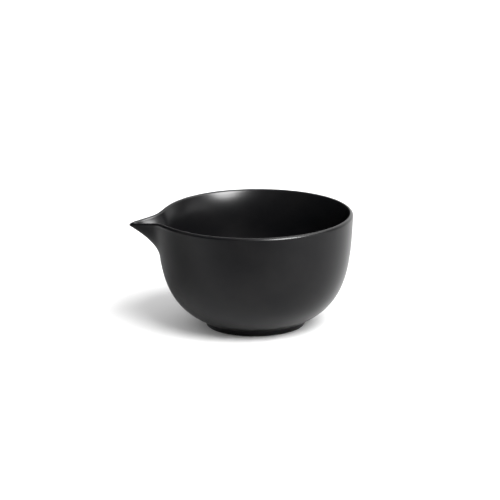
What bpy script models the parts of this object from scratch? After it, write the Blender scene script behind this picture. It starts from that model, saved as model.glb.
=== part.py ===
"""Spouted stoneware mortar with its pestle lying inside.

Metres, +Z up. The spout points along -X. The origin is on the surface that the foot stands on,
under the middle of the whole object's box, so the bowl's own axis is half the spout's reach
towards +X.
"""

import math

import bpy
from mathutils import Matrix, Vector
from mathutils.geometry import interpolate_bezier

COLLECTION = "mortar_and_pestle"
ON_AXIS = 0.00001                  # a point this close to a turned piece's axis is on it

# Bowl
RIM_RADIUS = 0.070
HEIGHT = 0.081
LIP = 0.004                        # thickness of the round-edged lip
FLOOR_HEIGHT = 0.0076              # top of the floor above the table
OUTER_LEAN = math.radians(3.0)     # the walls still open by this much at the rim
INNER_LEAN = math.radians(4.9)
OUTER_RIM_ANGLE = -math.pi / 2 - OUTER_LEAN
INNER_RIM_ANGLE = -math.pi / 2 - INNER_LEAN
OUTER_RIM_HANDLE = 0.0345          # lengths of the wall curves' Bezier handles
OUTER_FOOT_HANDLE = 0.0325
INNER_RIM_HANDLE = 0.0620
INNER_FLOOR_HANDLE = 0.0510
TAPER = 0.0024                     # the wall thickens this much below the lip, on its inside
TAPER_DEPTH = 0.042                # and is back on its curve this far down
WALL_POINTS = 16

# Foot ring
FOOT_RADIUS = 0.0350
FOOT_HEIGHT = 0.0042               # where the wall's curve leaves the foot
FOOT_FLARE = 0.0012                # the foot's side leans out by this much on its way up
FOOT_EDGE = 0.0008                 # rounding of the ring's two lower edges
FOOT_FILLET = 0.0016               # hollow round between the foot's side and the wall
RING_WIDTH = 0.0046
RECESS = 0.0015                    # depth of the hollow inside the ring
WALL_SLOPE_AT_FOOT = math.radians(22.5)

# Spout: the rim follows a round-nosed V, and dips towards its tip
SPOUT_REACH = 0.0190               # from the rim's circle to the tip
SPOUT_HALF_ANGLE = math.radians(25.5)
SPOUT_SHOULDER = 0.0050            # softness of the corner between the V and the circle
SPOUT_NOSE = 0.060                 # rounding of the V's tip, in radians about the bowl's axis
SPOUT_DIP = 0.0069
SPOUT_DIP_SPREAD = 0.26            # how far round the rim the dip fades, in radians
SPOUT_DEPTH = 0.0262               # the pull fades out this far below the rim
SPOUT_FADE = 1.36
SPOUT_WIDENING = 0.12              # extra rounding of the V at the bottom of the pull
INNER_PULL = 0.88                  # the channel is pulled a little less than the outer wall

# The turned steps are closest together at the spout
BOWL_STEPS = 84
STEPS_AT_SPOUT = 0.38              # their spacing there, as a share of an even spacing

# Pestle, turned about its own length
PESTLE_LENGTH = 0.1076
HEAD_RADIUS = 0.0160
KNOB_RADIUS = 0.0115
HEAD_TO_NECK = 42                  # degrees: where the neck leaves the head, above its equator
KNOB_TO_NECK = -38                 # and the knob, below its equator
NECK_HANDLE = 0.0052               # a longer handle makes a thinner waist
PESTLE_STEPS = 28
PESTLE_REST = Vector((-0.0323, 0.0, 0.0276))   # centre of the head, from the bowl's axis
PESTLE_TILT = math.radians(8.0)                # its handle rises towards +X


def clear_scene():
    for old in list(bpy.data.objects):
        bpy.data.objects.remove(old, do_unlink=True)


def make_collection(name):
    collection = bpy.data.collections.new(name)
    bpy.context.scene.collection.children.link(collection)
    return collection


def ceramic(name, colour, roughness):
    material = bpy.data.materials.new(name)
    material.use_nodes = True
    shader = material.node_tree.nodes["Principled BSDF"]
    shader.inputs["Base Color"].default_value = (*colour, 1.0)
    shader.inputs["Roughness"].default_value = roughness
    shader.inputs["Metallic"].default_value = 0.0
    return material


def arc(centre, radius, start, end, count):
    """Points (r, z) on a circle's arc, angles in degrees."""
    points = []
    for i in range(count):
        angle = math.radians(start + (end - start) * i / (count - 1))
        points.append((centre[0] + radius * math.cos(angle), centre[1] + radius * math.sin(angle)))
    return points


def bezier(start, start_handle, end_handle, end, count):
    corners = [Vector((r, z, 0.0)) for r, z in (start, start_handle, end_handle, end)]
    return [(p.x, p.y) for p in interpolate_bezier(*corners, count)]


def along(point, angle, length):
    """A handle's end: the point, moved by a length at an angle above the r axis."""
    return (point[0] + length * math.cos(angle), point[1] + length * math.sin(angle))


def taper(depth):
    """How far the inner wall stands in, at a depth below the lip."""
    share = min(depth / TAPER_DEPTH, 1.0)
    return TAPER * 6.75 * share * (1 - share) ** 2


def bowl_profile():
    """(r, z) from the middle of the inner floor, up, over the lip and down to the underside."""
    lip_height = HEIGHT - LIP / 2
    inner_rim = (RIM_RADIUS - LIP, lip_height)
    outer_rim = (RIM_RADIUS, lip_height)
    floor = (0.0, FLOOR_HEIGHT)
    inner = bezier(floor, along(floor, 0, INNER_FLOOR_HANDLE),
                   along(inner_rim, INNER_RIM_ANGLE, INNER_RIM_HANDLE), inner_rim, WALL_POINTS)
    inner = [floor] + [(r - taper(lip_height - z), z) for r, z in inner[1:]]
    lip = arc((RIM_RADIUS - LIP / 2, lip_height), LIP / 2, 180, 0, 7)

    wall_foot = (FOOT_RADIUS + FOOT_FLARE, FOOT_HEIGHT)
    outer = bezier(outer_rim, along(outer_rim, OUTER_RIM_ANGLE, OUTER_RIM_HANDLE),
                   along(wall_foot, WALL_SLOPE_AT_FOOT, OUTER_FOOT_HANDLE), wall_foot, WALL_POINTS)
    above = along(wall_foot, WALL_SLOPE_AT_FOOT, FOOT_FILLET)
    below = (wall_foot[0] - FOOT_FLARE / 2, wall_foot[1] - FOOT_FILLET)
    fillet = bezier(above, wall_foot, wall_foot, below, 4)

    ring_inside = FOOT_RADIUS - RING_WIDTH
    outer_edge = arc((FOOT_RADIUS - FOOT_EDGE, FOOT_EDGE), FOOT_EDGE, 0, -90, 3)
    inner_edge = arc((ring_inside + FOOT_EDGE, FOOT_EDGE), FOOT_EDGE, 270, 180, 3)
    underside = [(ring_inside - RECESS / 2, RECESS), (ring_inside / 2, RECESS), (0.0, RECESS)]
    return inner[:-1] + lip + outer[1:-1] + fillet + outer_edge + inner_edge + underside


def turned_object(name, profile, steps, collection):
    """A closed solid turned about Z from a profile that starts and ends on the axis."""
    mesh = bpy.data.meshes.new(name)
    edges = [(i, i + 1) for i in range(len(profile) - 1)]
    mesh.from_pydata([(r, 0.0, z) for r, z in profile], edges, [])
    turned = bpy.data.objects.new(name, mesh)
    collection.objects.link(turned)
    screw = turned.modifiers.new("Turn", "SCREW")
    screw.steps = steps
    screw.render_steps = steps
    screw.use_merge_vertices = True
    screw.merge_threshold = ON_AXIS
    screw.use_smooth_shade = True
    return turned


def apply_modifiers(piece):
    """Replace an object's mesh by what its modifiers make of it."""
    evaluated = piece.evaluated_get(bpy.context.evaluated_depsgraph_get())
    mesh = bpy.data.meshes.new_from_object(evaluated)
    mesh.name = piece.name
    piece.modifiers.clear()
    piece.data = mesh


def turn_from_spout(angle):
    """An even step's angle about the axis, drawn in towards the spout: -pi to pi from it."""
    even = math.remainder(angle - math.pi, 2 * math.pi) / math.pi
    return math.pi * (STEPS_AT_SPOUT * even + (1 - STEPS_AT_SPOUT) * even ** 3)


def rounded(turn, nose):
    """Distance from the spout's centre line, with the point at zero rounded off."""
    return min(math.hypot(turn, nose) - nose, math.pi / 2)


def spout_pull(turn, nose):
    """How far the rim moves out: a soft maximum of its circle and the V's straight sides."""
    turn = rounded(turn, nose)
    tip = RIM_RADIUS + SPOUT_REACH
    side = tip * math.sin(SPOUT_HALF_ANGLE) / math.sin(SPOUT_HALF_ANGLE + turn)
    return SPOUT_SHOULDER * math.log1p(math.exp((side - RIM_RADIUS) / SPOUT_SHOULDER))


def spout_dip(turn):
    return SPOUT_DIP * math.exp(-rounded(turn, SPOUT_NOSE) / SPOUT_DIP_SPREAD)


def across_wall(radius, height):
    """0 on the inner wall and 1 on the outer wall, for points near the rim."""
    lean = math.tan(OUTER_LEAN) * max(HEIGHT - LIP / 2 - height, 0.0)
    return min(max((radius + lean - (RIM_RADIUS - LIP)) / LIP, 0.0), 1.0)


def pull_spout(mesh):
    """Draw the turned wall out and down into the spout."""
    for vertex in mesh.vertices:
        radius = math.hypot(vertex.co.x, vertex.co.y)
        if radius < ON_AXIS:
            continue
        turn = turn_from_spout(math.atan2(vertex.co.y, vertex.co.x))
        depth = min(max((HEIGHT - LIP / 2 - vertex.co.z) / SPOUT_DEPTH, 0.0), 1.0)
        fade = (1 - depth) ** SPOUT_FADE
        share = INNER_PULL + (1 - INNER_PULL) * across_wall(radius, vertex.co.z)
        pull = share * fade * spout_pull(turn, SPOUT_NOSE + SPOUT_WIDENING * depth)
        dip = fade * spout_dip(turn)
        heading = math.pi + turn
        vertex.co.x = (radius + pull) * math.cos(heading)
        vertex.co.y = (radius + pull) * math.sin(heading)
        vertex.co.z -= dip


def make_bowl(collection):
    bowl = turned_object("mortar_bowl", bowl_profile(), BOWL_STEPS, collection)
    apply_modifiers(bowl)
    pull_spout(bowl.data)
    bowl.location.x = spout_pull(0.0, SPOUT_NOSE) / 2
    bowl.data.materials.append(ceramic("black_glaze", (0.020, 0.020, 0.022), 0.35))
    return bowl


def pestle_profile():
    """(r, z) from the top of the knob to the grinding end; z = 0 at the head's centre."""
    knob_height = PESTLE_LENGTH - HEAD_RADIUS - KNOB_RADIUS
    knob = arc((0.0, knob_height), KNOB_RADIUS, 90, KNOB_TO_NECK, 9)
    head = arc((0.0, 0.0), HEAD_RADIUS, HEAD_TO_NECK, -90, 9)
    knob_tangent = math.radians(KNOB_TO_NECK - 90)
    head_tangent = math.radians(HEAD_TO_NECK + 90)
    neck = bezier(knob[-1], along(knob[-1], knob_tangent, NECK_HANDLE),
                  along(head[0], head_tangent, NECK_HANDLE), head[0], 10)
    knob[0] = (0.0, knob_height + KNOB_RADIUS)
    head[-1] = (0.0, -HEAD_RADIUS)
    return knob + neck[1:-1] + head


def make_pestle(collection, bowl_axis):
    pestle = turned_object("pestle", pestle_profile(), PESTLE_STEPS, collection)
    lean = Matrix.Rotation(math.pi / 2 - PESTLE_TILT, 4, "Y")
    pestle.matrix_world = Matrix.Translation(bowl_axis + PESTLE_REST) @ lean
    pestle.data.materials.append(ceramic("black_bisque", (0.030, 0.029, 0.029), 0.75))
    return pestle


def main():
    clear_scene()
    parts = make_collection(COLLECTION)
    bowl = make_bowl(parts)
    make_pestle(parts, bowl.location)


main()
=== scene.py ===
"""Spouted stoneware mortar and pestle: the fine surfaces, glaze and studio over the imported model."""

import math

import bmesh
import bpy
from bpy.props import FloatProperty, FloatVectorProperty, PointerProperty
from bpy.types import Operator, Panel, PropertyGroup
from mathutils import Matrix, Vector
from mathutils.geometry import interpolate_bezier


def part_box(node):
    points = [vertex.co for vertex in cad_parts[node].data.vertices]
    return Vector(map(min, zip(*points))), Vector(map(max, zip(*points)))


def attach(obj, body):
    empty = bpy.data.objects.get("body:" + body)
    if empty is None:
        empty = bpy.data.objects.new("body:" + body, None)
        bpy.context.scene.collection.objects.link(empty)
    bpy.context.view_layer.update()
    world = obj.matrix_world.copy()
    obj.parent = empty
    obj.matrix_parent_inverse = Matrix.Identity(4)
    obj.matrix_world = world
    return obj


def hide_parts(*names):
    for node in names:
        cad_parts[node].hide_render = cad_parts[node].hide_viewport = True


bl_info = {
    "name": "Stoneware Mortar and Pestle",
    "version": (1, 0, 0),
    "blender": (4, 5, 0),
    "location": "View3D > Sidebar > Mortar",
    "description": "Models a spouted black stoneware mortar, its pestle and a small studio",
    "category": "Add Mesh",
}

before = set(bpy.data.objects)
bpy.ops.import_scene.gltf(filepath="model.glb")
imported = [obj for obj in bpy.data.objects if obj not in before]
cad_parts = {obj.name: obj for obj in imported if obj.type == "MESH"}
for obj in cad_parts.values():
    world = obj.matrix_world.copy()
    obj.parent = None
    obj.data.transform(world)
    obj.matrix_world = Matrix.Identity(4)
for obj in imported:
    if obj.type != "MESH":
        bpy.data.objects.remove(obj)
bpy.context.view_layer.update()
BOWL_LOW, BOWL_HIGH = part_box("mortar_bowl")
PESTLE_LOW, PESTLE_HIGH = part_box("pestle")

RIM_RADIUS = (BOWL_HIGH.y - BOWL_LOW.y) / 2
BOWL_AXIS = Vector((BOWL_HIGH.x - RIM_RADIUS, (BOWL_HIGH.y + BOWL_LOW.y) / 2, BOWL_LOW.z))
HEAD_RADIUS = (PESTLE_HIGH.y - PESTLE_LOW.y) / 2
ON_AXIS = 1e-6                     # a point this close to a turned piece's axis is on it
TAPER_START = 6.75                 # slope at the lip of a taper that is one high and one long
LIP_ROUND = 0.98                   # share of the lip's half thickness that is rounded
FILLET_CLEAR = 1.1                 # the outer wall's points start this many fillets up it
SPOUT_STEP = 0.30                  # a turning step at the spout, as a share of an even one

# How finely each piece is made
BOWL_STEPS, PESTLE_STEPS = 240, 96             # steps of a full turn
INNER_WALL_POINTS, OUTER_WALL_POINTS = 90, 70
KNOB_POINTS, NECK_POINTS, HEAD_POINTS = 18, 28, 30
INNER_LIP_SEGMENTS, OUTER_LIP_SEGMENTS = 8, 10
FILLET_SEGMENTS, EDGE_SEGMENTS = 6, 4

# Wear: where the pestle works on the inside
LOOKS_UP = 0.5                     # a point whose normal rises more than this is on the floor
WEAR_GAIN = 2.0                    # wear is full half way down from the top of the grinding

# Finishes: each noise has a scale, a detail and a roughness
CLOUD = (38.0, 4.0, 0.55)          # clouds left in the glaze by the kiln
GRAIN = (900.0, 2.0, 0.6)          # the eggshell surface
WEAR = (260.0, 3.0, 0.5)
SCRATCHES = (1400.0, 3.0, 0.7)
CLAY_BODY = (120.0, 5.0, 0.6)
CLAY_GRIT = (1500.0, 2.0, 0.5)
CLAY_SPECKS = (700.0, 1.0, 0.5)
NOISE_RANGE = (0.3, 0.7)           # nearly all of a noise's values lie between these
THIN_RANGE = (0.35, 0.72)          # where the clouds turn from full to thin glaze
WEAR_RANGE, LEAST_WEAR = (0.3, 0.6), 0.5
SPECK_RANGE = (0.62, 0.70)         # only the noise's peaks are pale grit
GLAZE_IOR, GLAZE_SPECULAR, CLAY_SPECULAR = 1.5, 0.16, 0.30
CLOUD_ROUGHNESS, GRAIN_ROUGHNESS, WORN_ROUGHNESS = 0.006, 0.003, 0.22
CLAY_ROUGHNESS = (0.72, 0.86)
CLAY_SHADE = 0.7                   # the clay's darker parts, as a share of its colour
PAPER_ROUGHNESS, PAPER_SPECULAR = 0.9, 0.1
CLOUD_BUMP = (0.02, 0.0005)        # each bump has a strength and a distance in metres
GRAIN_BUMP = (0.015, 0.00004)
SCRATCH_BUMP = (0.30, 0.00005)
CLAY_BUMP = (0.25, 0.0003)
GRIT_BUMP = (0.35, 0.00012)

# Studio: azimuths are counted from +X, towards +Y, and all angles are in degrees
FLOOR = 24.0                       # width of the white floor
FLOOR_WHITE = (0.90, 0.90, 0.90)
# painted shade: the grey of the card's patches, which the glaze mirrors in place of dark surroundings
MIRRORED_SHADE_GREY = (0.26, 0.26, 0.26)
CARD_HEIGHT = 0.001                # the card lies just over the floor
CARD_FADE = 0.45                   # share of a patch's reach that is wholly grey
PAINTED_SHADE_PATCHES = (                   # painted shade patches mirrored in the glaze: middle on the card, and how far the grey reaches
    ((-0.20, 0.07, 0.0), 0.23),
    ((-0.06, -0.42, 0.0), 0.36),
)
KEY_PLACE = (-44.0, 50.0)          # azimuth and elevation of the light that casts the shadow
SOFT_BOXES = (                     # name, azimuth, elevation, width, brightness
    ("glint", -47.0, 42.0, 32.0, 76.0),
    ("right_strip", -10.0, 2.0, 40.0, 2.5),
    ("right_wall", 60.0, 15.0, 66.0, 1.8),
    ("overhead", 20.0, 66.0, 46.0, 8.0),
    ("overhead_left", 135.0, 66.0, 40.0, 1.0),
)
SENSOR_WIDTH, VIEW_END = 36.0, 50.0            # camera: millimetres, metres


# ---------------------------------------------------------------- sizes and colours

def length(name, default, description):
    return FloatProperty(name=name, default=default, description=description,
                         min=0.0, precision=4, unit="LENGTH", subtype="DISTANCE")


def angle(name, degrees, description):
    return FloatProperty(name=name, default=math.radians(degrees), description=description,
                         subtype="ANGLE", unit="ROTATION")


def factor(name, default, description, low=0.0, high=1.0):
    return FloatProperty(name=name, default=default, description=description,
                         min=low, max=high, precision=3)


def colour(name, default, description):
    return FloatVectorProperty(name=name, default=default, description=description,
                               subtype="COLOR", size=3, min=0.0, max=1.0)


class BowlSizes(PropertyGroup):
    rim_radius: length("Rim radius", RIM_RADIUS, "Outer radius of the rim's circle")
    height: length("Height", BOWL_HIGH.z - BOWL_LOW.z, "Foot to lip")
    lip: length("Lip", 0.004, "Thickness of the round-edged lip")
    floor_height: length("Floor height", 0.0076, "Top of the inner floor above the table")
    outer_lean: angle("Outer lean", 3.0, "How far the outer wall still opens at the rim")
    inner_lean: angle("Inner lean", 4.9, "How far the inner wall still opens at the rim")
    taper: length("Taper", 0.0024, "How much the wall thickens below the lip, on its inside")
    taper_depth: length("Taper depth", 0.042, "Where the inner wall is back on its curve")
    outer_rim_handle: length("Outer rim handle", 0.0345, "Shapes the outer wall below the rim")
    outer_foot_handle: length("Outer foot handle", 0.0325, "Shapes the outer wall above the foot")
    inner_rim_handle: length("Inner rim handle", 0.0620, "Shapes the inner wall below the rim")
    inner_floor_handle: length("Inner floor handle", 0.0510, "Shapes the round of the floor")
    foot_radius: length("Foot radius", 0.0350, "Outer radius of the foot ring")
    foot_height: length("Foot height", 0.0042, "Where the wall leaves the foot")
    foot_flare: length("Foot flare", 0.0012, "How far the foot's side leans out")
    foot_edge: length("Foot edge", 0.0008, "Rounding of the foot ring's lower edges")
    foot_fillet: length("Foot fillet", 0.0016, "Hollow round between the foot and the wall")
    ring_width: length("Ring width", 0.0046, "Width of the foot ring")
    recess: length("Recess", 0.0015, "Depth of the hollow inside the foot ring")
    grinding_top: length("Grinding top", 0.034, "Height up to which the pestle dulls the glaze")
    wall_slope: angle("Wall slope", 22.5, "Slope of the wall where it leaves the foot")


class SpoutSizes(PropertyGroup):
    reach: length("Reach", 0.0190, "From the rim's circle to the spout's tip")
    half_angle: angle("Half angle", 25.5, "Half of the V that the spout's lips make")
    shoulder: length("Shoulder", 0.0050, "Softness of the corner between the V and the rim")
    nose: factor("Nose", 0.060, "Rounding of the tip, in radians about the bowl's axis")
    dip: length("Dip", 0.0069, "How far the lip drops at the tip")
    dip_spread: factor("Dip spread", 0.26, "How far round the rim the dip fades, in radians")
    depth: length("Depth", 0.0262, "How far below the rim the pull fades out")
    fade: factor("Fade", 1.36, "How the pull fades with depth", high=4.0)
    widening: factor("Widening", 0.12, "Extra rounding of the V at the bottom of the pull")
    inner_pull: factor("Inner pull", 0.88, "The channel's pull as a share of the outer wall's")


class PestleSizes(PropertyGroup):
    length: length("Length", 0.1076, "Knob to grinding end")
    head_radius: length("Head radius", HEAD_RADIUS, "Radius of the grinding head")
    knob_radius: length("Knob radius", 0.0115, "Radius of the knob at the top")
    head_to_neck: angle("Head to neck", 42.0, "Where the neck leaves the head")
    knob_to_neck: angle("Knob to neck", -38.0, "Where the neck leaves the knob")
    neck_handle: length("Neck handle", 0.0052, "A longer handle makes a thinner waist")
    tilt: angle("Tilt", 8.0, "How far its handle rises as it lies in the bowl")
    glaze_line: length("Glaze line", 0.0030, "Where the glaze ends, above the head's centre")
    glaze: length("Glaze", 0.00018, "How far the glaze stands out at its edge")
    bead_width: length("Bead width", 0.0025, "How far up the glaze's edge is thickened")


class Finishes(PropertyGroup):
    glaze: colour("Glaze", (0.0036, 0.0036, 0.0043), "Satin black glaze")
    glaze_thin: colour("Thin glaze", (0.0058, 0.0056, 0.0060), "Glaze where it is thin")
    glaze_worn: colour("Worn glaze", (0.0110, 0.0105, 0.0100), "Glaze dulled by the pestle")
    glaze_gloss: factor("Glaze roughness", 0.285, "Roughness of the satin glaze")
    clay: colour("Clay", (0.030, 0.027, 0.025), "Bare fired clay")
    clay_speck: colour("Clay specks", (0.075, 0.068, 0.062), "Pale grit in the clay")


class StudioSettings(PropertyGroup):
    azimuth: angle("Azimuth", 2.1, "Camera's turn round the bowl")
    elevation: angle("Elevation", 15.4, "Camera's height above the horizon")
    roll: angle("Roll", 0.55, "The picture's slight turn")
    distance: length("Distance", 3.0, "Camera to the bowl")
    room: FloatProperty(name="Room", default=0.82, min=0.0, description="Brightness of the room")
    key: FloatProperty(name="Key", default=4.3, min=0.0, description="Strength of the main light")
    key_size: angle("Key size", 44.0, "How wide the main light looks from the bowl")
    scale: factor("Scale", 0.3556, "Width of the view at the bowl, in metres", high=4.0)
    aside: length("Aside", 0.00346, "How far right of the picture's middle the bowl's axis is")
    below: length("Below", 0.0129, "How far below the picture's middle the bowl is")


# ---------------------------------------------------------------- outlines

def arc(centre, radius, start, end, count):
    """Points (r, z) on a circle's arc, angles in radians."""
    points = []
    for i in range(count):
        turn = start + (end - start) * i / (count - 1)
        points.append((centre[0] + radius * math.cos(turn), centre[1] + radius * math.sin(turn)))
    return points


def bezier(start, start_handle, end_handle, end, count):
    corners = [Vector((r, z, 0.0)) for r, z in (start, start_handle, end_handle, end)]
    return [(p.x, p.y) for p in interpolate_bezier(*corners, count)]


def along(point, direction, distance):
    """The point moved by a distance, at an angle above the r axis."""
    return (point[0] + distance * math.cos(direction), point[1] + distance * math.sin(direction))


def taper(bowl, depth):
    """How far the inner wall stands in, at a depth below the lip; most a third of the way."""
    share = min(depth / bowl.taper_depth, 1.0)
    return bowl.taper * TAPER_START * share * (1 - share) ** 2


def bowl_corners(bowl):
    """The outline's sharp corners: (r, z), the bevel's offset and its segments."""
    half_lip = bowl.lip / 2
    lean = math.tan(bowl.inner_lean) + TAPER_START * bowl.taper / bowl.taper_depth
    drawn_back = lean * half_lip
    lip_inside = (bowl.rim_radius - bowl.lip + drawn_back, bowl.height)
    lip_outside = (bowl.rim_radius, bowl.height)
    wall_foot = (bowl.foot_radius + bowl.foot_flare, bowl.foot_height)
    ring_inside = bowl.foot_radius - bowl.ring_width
    return ((lip_inside, LIP_ROUND * (half_lip - drawn_back), INNER_LIP_SEGMENTS),
            (lip_outside, LIP_ROUND * half_lip, OUTER_LIP_SEGMENTS),
            (wall_foot, bowl.foot_fillet, FILLET_SEGMENTS),
            ((bowl.foot_radius, 0.0), bowl.foot_edge, EDGE_SEGMENTS),
            ((ring_inside, 0.0), bowl.foot_edge, EDGE_SEGMENTS),
            ((ring_inside, bowl.recess), bowl.foot_edge / 2, EDGE_SEGMENTS))


def bowl_outline(bowl):
    """(r, z) from the middle of the inner floor, up, over the lip and down to the underside."""
    lip_height = bowl.height - bowl.lip / 2
    inner_rim = (bowl.rim_radius - bowl.lip, lip_height)
    outer_rim = (bowl.rim_radius, lip_height)
    floor = (0.0, bowl.floor_height)
    down = -math.pi / 2
    inner = bezier(floor, along(floor, 0.0, bowl.inner_floor_handle),
                   along(inner_rim, down - bowl.inner_lean, bowl.inner_rim_handle),
                   inner_rim, INNER_WALL_POINTS)
    inner = [floor] + [(r - taper(bowl, lip_height - z), z) for r, z in inner[1:]]

    lip_inside, lip_outside, wall_foot, *ring = [corner for corner, _, _ in bowl_corners(bowl)]
    outer = bezier(outer_rim, along(outer_rim, down - bowl.outer_lean, bowl.outer_rim_handle),
                   along(wall_foot, bowl.wall_slope, bowl.outer_foot_handle),
                   wall_foot, OUTER_WALL_POINTS)
    clear = along(wall_foot, bowl.wall_slope, FILLET_CLEAR * bowl.foot_fillet)
    outer = [point for point in outer[:-1] if point[1] > clear[1]]
    middle = (0.0, bowl.recess)
    return inner + [lip_inside, lip_outside] + outer + [wall_foot] + ring + [middle]


def pestle_outline(pestle):
    """(r, z) from the top of the knob to the grinding end; z = 0 at the head's centre."""
    knob_height = pestle.length - pestle.head_radius - pestle.knob_radius
    knob = arc((0.0, knob_height), pestle.knob_radius,
               math.pi / 2, pestle.knob_to_neck, KNOB_POINTS)
    head = arc((0.0, 0.0), pestle.head_radius, pestle.head_to_neck, -math.pi / 2, HEAD_POINTS)
    neck = bezier(knob[-1], along(knob[-1], pestle.knob_to_neck - math.pi / 2, pestle.neck_handle),
                  along(head[0], pestle.head_to_neck + math.pi / 2, pestle.neck_handle),
                  head[0], NECK_POINTS)
    knob[0] = (0.0, knob_height + pestle.knob_radius)
    head[-1] = (0.0, -pestle.head_radius)
    line = pestle.glaze_line
    glazed = [(r + glaze_bead(pestle, z), z) for r, z in knob + neck[1:-1] + head if z > line]
    edge = (math.sqrt(pestle.head_radius ** 2 - line ** 2), line)
    return glazed + [(edge[0] + pestle.glaze, line + pestle.glaze), edge] + [
        point for point in head if point[1] < line]


def glaze_bead(pestle, height):
    """How far the glaze stands out: it gathers in a low bead where it ends."""
    above = (height - pestle.glaze_line) / pestle.bead_width
    return pestle.glaze * math.exp(-above ** 2)


# ---------------------------------------------------------------- turning and pulling

def turned_mesh(outline, steps):
    """A bmesh of an outline turned fully about Z; both its ends are on the axis."""
    bm = bmesh.new()
    verts = [bm.verts.new((r, 0.0, z)) for r, z in outline]
    edges = [bm.edges.new(pair) for pair in zip(verts, verts[1:])]
    bmesh.ops.spin(bm, geom=verts + edges, cent=(0, 0, 0), axis=(0, 0, 1),
                   angle=2 * math.pi, steps=steps, use_merge=True, use_duplicate=False)
    poles = [v for v in bm.verts if math.hypot(v.co.x, v.co.y) < ON_AXIS]
    bmesh.ops.remove_doubles(bm, verts=poles, dist=ON_AXIS)
    bmesh.ops.recalc_face_normals(bm, faces=bm.faces)
    return bm


def turn_from_spout(heading):
    """An even step's angle, drawn in towards the spout: -pi to pi from the spout."""
    even = math.remainder(heading - math.pi, 2 * math.pi) / math.pi
    return math.pi * (SPOUT_STEP * even + (1 - SPOUT_STEP) * even ** 3)


def rounded(turn, nose):
    """Distance from the spout's centre line, with the point at zero rounded off."""
    return min(math.hypot(turn, nose) - nose, math.pi / 2)


def spout_pull(turn, nose, bowl, spout):
    """How far the rim moves out: a soft maximum of its circle and the V's straight sides."""
    turn = rounded(turn, nose)
    tip = bowl.rim_radius + spout.reach
    side = tip * math.sin(spout.half_angle) / math.sin(spout.half_angle + turn)
    return spout.shoulder * math.log1p(math.exp((side - bowl.rim_radius) / spout.shoulder))


def across_wall(radius, height, bowl):
    """0 on the inner wall and 1 on the outer wall, for points near the rim."""
    lean = math.tan(bowl.outer_lean) * max(bowl.height - bowl.lip / 2 - height, 0.0)
    return min(max((radius + lean - (bowl.rim_radius - bowl.lip)) / bowl.lip, 0.0), 1.0)


def pull_spout(bm, bowl, spout):
    """Draws the turned wall out and down into the spout."""
    for vert in bm.verts:
        radius = math.hypot(vert.co.x, vert.co.y)
        if radius < ON_AXIS:
            continue
        turn = turn_from_spout(math.atan2(vert.co.y, vert.co.x))
        depth = min(max((bowl.height - bowl.lip / 2 - vert.co.z) / spout.depth, 0.0), 1.0)
        fade = (1 - depth) ** spout.fade
        outside = across_wall(radius, vert.co.z, bowl)
        share = spout.inner_pull + (1 - spout.inner_pull) * outside
        pull = share * fade * spout_pull(turn, spout.nose + spout.widening * depth, bowl, spout)
        dip = fade * spout.dip * math.exp(-rounded(turn, spout.nose) / spout.dip_spread)
        vert.co.x = (radius + pull) * math.cos(math.pi + turn)
        vert.co.y = (radius + pull) * math.sin(math.pi + turn)
        vert.co.z -= dip


def bevel_corners(bm, corners):
    """Rounds the rings of edges that the outline's sharp corners have turned into."""
    for (radius, height), offset, segments in corners:
        ring = [e for e in bm.edges if all(abs(v.co.z - height) < ON_AXIS and
                                           abs(v.co.xy.length - radius) < ON_AXIS
                                           for v in e.verts)]
        bmesh.ops.bevel(bm, geom=ring, offset=offset, offset_type="OFFSET", affect="EDGES",
                        segments=segments, profile=0.5, material=-1)


def mark_grinding(bm, bowl):
    """Marks, from 0 to 1, how much the pestle works on each point of the inside."""
    bm.normal_update()
    mark = bm.verts.layers.float.new("grinding")
    for vert in bm.verts:
        outwards = Vector((vert.co.x, vert.co.y, 0.0))
        inside = vert.normal.z > LOOKS_UP or vert.normal.dot(outwards) < 0
        share = (bowl.grinding_top - vert.co.z) / bowl.grinding_top
        if inside and vert.co.z > bowl.recess * 2:
            vert[mark] = min(max(WEAR_GAIN * share, 0.0), 1.0)


def finished_piece(name, bm, materials, body, node):
    """Makes the bmesh an object that rides on its body in place of its CAD node."""
    for face in bm.faces:
        face.smooth = True
    mesh = bpy.data.meshes.new(name)
    bm.to_mesh(mesh)
    bm.free()
    for material in materials:
        mesh.materials.append(material)
    piece = bpy.data.objects.new(name, mesh)
    bpy.context.scene.collection.objects.link(piece)
    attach(piece, body)
    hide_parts(node)
    return piece


# ---------------------------------------------------------------- materials

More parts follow.
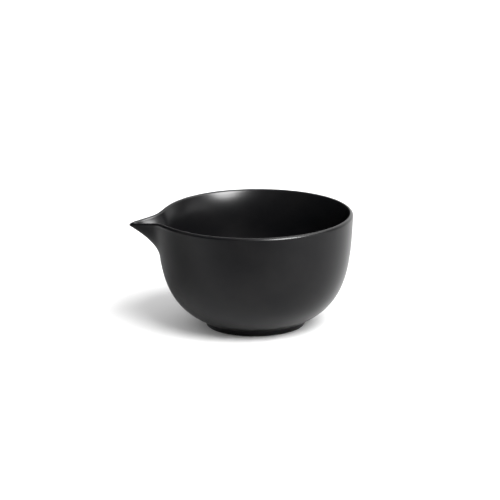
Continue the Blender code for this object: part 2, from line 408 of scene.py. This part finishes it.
class Nodes:
    """Short calls for building one material's node tree."""

    def __init__(self, name):
        self.material = bpy.data.materials.new(name)
        self.material.use_nodes = True
        self.tree = self.material.node_tree
        self.shader = self.tree.nodes["Principled BSDF"]
        self.place = self.tree.nodes.new("ShaderNodeTexCoord").outputs["Object"]

    def add(self, kind, **settings):
        node = self.tree.nodes.new(kind)
        for key, value in settings.items():
            setattr(node, key, value)
        return node

    def join(self, output, socket):
        self.tree.links.new(output, socket)

    def noise(self, scale, detail, roughness):
        node = self.add("ShaderNodeTexNoise")
        node.inputs["Scale"].default_value = scale
        node.inputs["Detail"].default_value = detail
        node.inputs["Roughness"].default_value = roughness
        self.join(self.place, node.inputs["Vector"])
        return node.outputs["Fac"]

    def distance_from(self, point):
        """Distance from a point in the object's own coordinates."""
        node = self.add("ShaderNodeVectorMath", operation="DISTANCE")
        node.inputs[1].default_value = point
        self.join(self.place, node.inputs[0])
        return node.outputs["Value"]

    def attribute(self, name):
        return self.add("ShaderNodeAttribute", attribute_name=name).outputs["Fac"]

    def spread(self, value, low, high, to_low, to_high):
        """Maps low..high to to_low..to_high, smoothly and clamped."""
        node = self.add("ShaderNodeMapRange", interpolation_type="SMOOTHSTEP")
        for socket, number in (("From Min", low), ("From Max", high),
                               ("To Min", to_low), ("To Max", to_high)):
            node.inputs[socket].default_value = number
        self.join(value, node.inputs["Value"])
        return node.outputs["Result"]

    def mix(self, share, first, second):
        """Mixes two colours by a share."""
        node = self.add("ShaderNodeMix", data_type="RGBA")
        self.join(share, node.inputs["Factor"])
        for socket, value in ((node.inputs[6], first), (node.inputs[7], second)):
            if isinstance(value, bpy.types.NodeSocket):
                self.join(value, socket)
            else:
                socket.default_value = (*value, 1.0)
        return node.outputs[2]

    def maths(self, operation, first, second):
        node = self.add("ShaderNodeMath", operation=operation)
        for socket, value in zip(node.inputs, (first, second)):
            if isinstance(value, bpy.types.NodeSocket):
                self.join(value, socket)
            else:
                socket.default_value = value
        return node.outputs[0]

    def bumps(self, *layers):
        """Stacks bumps, each (height, strength, distance), onto the shader's normal."""
        normal = None
        for height, strength, distance in layers:
            node = self.add("ShaderNodeBump")
            node.inputs["Strength"].default_value = strength
            node.inputs["Distance"].default_value = distance
            self.join(height, node.inputs["Height"])
            if normal is not None:
                self.join(normal, node.inputs["Normal"])
            normal = node.outputs["Normal"]
        self.join(normal, self.shader.inputs["Normal"])


def satin_glaze(finishes):
    """Black glaze with an eggshell surface, clouded by the kiln and dulled by grinding."""
    n = Nodes("black_glaze")
    cloud = n.noise(*CLOUD)
    grain = n.noise(*GRAIN)
    thin = n.spread(cloud, *THIN_RANGE, 0.0, 1.0)
    tone = n.mix(thin, finishes.glaze, finishes.glaze_thin)
    uneven = n.spread(n.noise(*WEAR), *WEAR_RANGE, LEAST_WEAR, 1.0)
    worn = n.maths("MULTIPLY", n.attribute("grinding"), uneven)
    n.join(n.mix(worn, tone, finishes.glaze_worn), n.shader.inputs["Base Color"])
    mottle = n.spread(cloud, *NOISE_RANGE, finishes.glaze_gloss - CLOUD_ROUGHNESS,
                      finishes.glaze_gloss + CLOUD_ROUGHNESS)
    fine = n.spread(grain, *NOISE_RANGE, -GRAIN_ROUGHNESS, GRAIN_ROUGHNESS)
    unworn = n.maths("ADD", mottle, fine)
    roughness = n.maths("ADD", unworn, n.maths("MULTIPLY", worn, WORN_ROUGHNESS))
    n.join(roughness, n.shader.inputs["Roughness"])
    n.shader.inputs["Specular IOR Level"].default_value = GLAZE_SPECULAR
    n.shader.inputs["IOR"].default_value = GLAZE_IOR
    scratches = n.maths("MULTIPLY", n.attribute("grinding"), n.noise(*SCRATCHES))
    n.bumps((cloud, *CLOUD_BUMP), (grain, *GRAIN_BUMP), (scratches, *SCRATCH_BUMP))
    return n.material


def bare_clay(finishes):
    """Unglazed black stoneware: matte, gritty, with pale specks."""
    n = Nodes("black_bisque")
    body = n.noise(*CLAY_BODY)
    grit = n.noise(*CLAY_GRIT)
    specks = n.spread(n.noise(*CLAY_SPECKS), *SPECK_RANGE, 0.0, 1.0)
    darker = tuple(CLAY_SHADE * channel for channel in finishes.clay)
    tone = n.mix(n.spread(body, *NOISE_RANGE, 0.0, 1.0), darker, finishes.clay)
    n.join(n.mix(specks, tone, finishes.clay_speck), n.shader.inputs["Base Color"])
    n.join(n.spread(body, *NOISE_RANGE, *CLAY_ROUGHNESS), n.shader.inputs["Roughness"])
    n.shader.inputs["Specular IOR Level"].default_value = CLAY_SPECULAR
    n.bumps((body, *CLAY_BUMP), (grit, *GRIT_BUMP))
    return n.material


def matte_paper(name):
    """The nodes of a matte material that has no colour yet."""
    n = Nodes(name)
    n.shader.inputs["Roughness"].default_value = PAPER_ROUGHNESS
    n.shader.inputs["Specular IOR Level"].default_value = PAPER_SPECULAR
    return n


def white_sweep():
    """Matte white paper for the studio floor."""
    n = matte_paper("white_sweep")
    n.shader.inputs["Base Color"].default_value = (*FLOOR_WHITE, 1.0)
    return n.material


def painted_shade_card():
    """Matte card in the floor's white, with soft-edged grey patches of painted shade for the glaze to
    mirror.
    """
    n = matte_paper("shade_card")
    unshaded = None
    for middle, reach in PAINTED_SHADE_PATCHES:
        # each patch is painted shade, wholly grey near its middle and fading to the floor's white at
        # its reach
        share = n.spread(n.distance_from(middle), CARD_FADE * reach, reach, 0.0, 1.0)
        unshaded = share if unshaded is None else n.maths("MINIMUM", unshaded, share)
    n.join(n.mix(unshaded, MIRRORED_SHADE_GREY, FLOOR_WHITE), n.shader.inputs["Base Color"])
    return n.material


# ---------------------------------------------------------------- pieces

GLAZED, BARE = 0, 1                # material indices of both pieces


class MORTAR_OT_bowl(Operator):
    """Turn the bowl, pull its spout and leave its foot ring bare"""
    bl_idname = "mortar.bowl"
    bl_label = "Bowl"

    def execute(self, context):
        scene = context.scene
        bowl, spout, finishes = scene.mortar_bowl, scene.mortar_spout, scene.mortar_finishes
        bm = turned_mesh(bowl_outline(bowl), steps=BOWL_STEPS)
        bevel_corners(bm, bowl_corners(bowl))
        mark_grinding(bm, bowl)
        pull_spout(bm, bowl, spout)
        ring_inside = bowl.foot_radius - bowl.ring_width
        for face in bm.faces:
            middle = face.calc_center_median()
            on_ring = middle.z < bowl.foot_edge / 2 and middle.xy.length > ring_inside
            face.material_index = BARE if on_ring else GLAZED
        bmesh.ops.translate(bm, verts=bm.verts, vec=BOWL_AXIS)
        finished_piece("bowl", bm, (satin_glaze(finishes), bare_clay(finishes)),
                       "bowl", "mortar_bowl")
        return {"FINISHED"}


class MORTAR_OT_pestle(Operator):
    """Turn the pestle, bare at its grinding end, and lay it in the bowl"""
    bl_idname = "mortar.pestle"
    bl_label = "Pestle"

    def execute(self, context):
        pestle, finishes = context.scene.mortar_pestle, context.scene.mortar_finishes
        bm = turned_mesh(pestle_outline(pestle), steps=PESTLE_STEPS)
        for face in bm.faces:
            bare = face.calc_center_median().z < pestle.glaze_line
            face.material_index = BARE if bare else GLAZED
        head = Vector((PESTLE_LOW.x, 0.0, PESTLE_LOW.z)) + Vector((1, 0, 1)) * pestle.head_radius
        lean = Matrix.Rotation(math.pi / 2 - pestle.tilt, 4, "Y")
        bmesh.ops.transform(bm, matrix=Matrix.Translation(head) @ lean, verts=bm.verts)
        finished_piece("pestle_turned", bm, (satin_glaze(finishes), bare_clay(finishes)),
                       "pestle", "pestle")
        return {"FINISHED"}


# ---------------------------------------------------------------- studio

def towards(azimuth, elevation):
    """A unit vector; azimuth is counted from +X, towards +Y, in degrees."""
    a, e = math.radians(azimuth), math.radians(elevation)
    return Vector((math.cos(a) * math.cos(e), math.sin(a) * math.cos(e), math.sin(e)))


def add_far_light(name, place, width, strength):
    """A round light far enough away to light the whole floor evenly."""
    data = bpy.data.lights.new(name, "SUN")
    data.energy = strength
    data.angle = width
    light = bpy.data.objects.new(name, data)
    light.rotation_mode = "QUATERNION"
    light.rotation_quaternion = towards(*place).to_track_quat("Z", "Y")
    bpy.context.scene.collection.objects.link(light)
    return light


def add_lights(studio):
    """One light casts the shadow; soft boxes are there only to be mirrored in the glaze."""
    key = add_far_light("key", KEY_PLACE, studio.key_size, studio.key)
    key.visible_glossy = False
    for name, azimuth, elevation, width, brightness in SOFT_BOXES:
        width = math.radians(width)
        strength = brightness * math.pi * math.sin(width / 2) ** 2
        box = add_far_light(name, (azimuth, elevation), width, strength)
        box.visible_diffuse = False


def add_camera(studio, height):
    """A long lens, aimed a little above and left of the bowl."""
    a, e = studio.azimuth, studio.elevation
    back = Vector((math.sin(a) * math.cos(e), -math.cos(a) * math.cos(e), math.sin(e)))
    right = Vector((math.cos(a), math.sin(a), 0.0))
    up = back.cross(right)
    middle = BOWL_AXIS + Vector((0, 0, height / 2)) - right * studio.aside + up * studio.below
    data = bpy.data.cameras.new("camera")
    data.sensor_width = SENSOR_WIDTH
    data.lens = data.sensor_width * studio.distance / studio.scale
    data.clip_end = VIEW_END
    camera = bpy.data.objects.new("camera", data)
    camera.location = middle + back * studio.distance
    camera.rotation_mode = "QUATERNION"
    aim = (-back).to_track_quat("-Z", "Y")
    roll = Matrix.Rotation(-studio.roll, 3, "Z").to_quaternion()
    camera.rotation_quaternion = aim @ roll
    bpy.context.scene.collection.objects.link(camera)
    bpy.context.scene.camera = camera


def add_sheet(name, material, size, place):
    """A flat square of paper or card, lying level."""
    bm = bmesh.new()
    bmesh.ops.create_grid(bm, x_segments=1, y_segments=1, size=size / 2)
    mesh = bpy.data.meshes.new(name)
    bm.to_mesh(mesh)
    bm.free()
    mesh.materials.append(material)
    sheet = bpy.data.objects.new(name, mesh)
    sheet.location = place
    bpy.context.scene.collection.objects.link(sheet)
    return sheet


def add_painted_shade_card():
    """A card over the floor, seen only in the glaze: its grey patches are painted shade, mirrored on
    the glaze's left and front.
    """
    shade_card = add_sheet("shade_card", painted_shade_card(), FLOOR, BOWL_AXIS + Vector((0, 0, CARD_HEIGHT)))
    for seen_by in ("camera", "diffuse", "shadow", "transmission", "volume_scatter"):
        setattr(shade_card, "visible_" + seen_by, False)


def set_world(studio):
    """An even white room, which the glaze doesn't mirror."""
    world = bpy.data.worlds.new("studio")
    world.use_nodes = True
    room = world.node_tree.nodes["Background"]
    room.inputs["Color"].default_value = (1.0, 1.0, 1.0, 1.0)
    room.inputs["Strength"].default_value = studio.room
    world.cycles_visibility.glossy = False
    bpy.context.scene.world = world
    bpy.context.scene.view_settings.view_transform = "Standard"


class MORTAR_OT_studio(Operator):
    """Lay the white floor and set the soft lights and the camera"""
    bl_idname = "mortar.studio"
    bl_label = "Studio"

    def execute(self, context):
        add_sheet("studio_floor", white_sweep(), FLOOR, BOWL_AXIS)
        add_painted_shade_card()
        set_world(context.scene.mortar_studio)
        add_lights(context.scene.mortar_studio)
        add_camera(context.scene.mortar_studio, context.scene.mortar_bowl.height)
        return {"FINISHED"}


class MORTAR_PT_panel(Panel):
    """Sizes, finishes and the buttons that build each piece"""
    bl_label = "Stoneware Mortar"
    bl_idname = "MORTAR_PT_panel"
    bl_space_type = "VIEW_3D"
    bl_region_type = "UI"
    bl_category = "Mortar"

    def draw(self, context):
        for name, operator in (("mortar_bowl", "mortar.bowl"), ("mortar_spout", None),
                               ("mortar_pestle", "mortar.pestle"), ("mortar_finishes", None),
                               ("mortar_studio", "mortar.studio")):
            box = self.layout.box()
            group = getattr(context.scene, name)
            for key in group.__annotations__:
                box.prop(group, key)
            if operator:
                box.operator(operator)


GROUPS = {"mortar_bowl": BowlSizes, "mortar_spout": SpoutSizes, "mortar_pestle": PestleSizes,
          "mortar_finishes": Finishes, "mortar_studio": StudioSettings}
CLASSES = (*GROUPS.values(), MORTAR_OT_bowl, MORTAR_OT_pestle, MORTAR_OT_studio, MORTAR_PT_panel)


def register():
    for cls in CLASSES:
        bpy.utils.register_class(cls)
    for name, group in GROUPS.items():
        setattr(bpy.types.Scene, name, PointerProperty(type=group))


def unregister():
    for name in GROUPS:
        delattr(bpy.types.Scene, name)
    for cls in reversed(CLASSES):
        bpy.utils.unregister_class(cls)


def main():
    register()
    bpy.ops.mortar.bowl()
    bpy.ops.mortar.pestle()
    bpy.ops.mortar.studio()


if __name__ == "__main__":
    main()
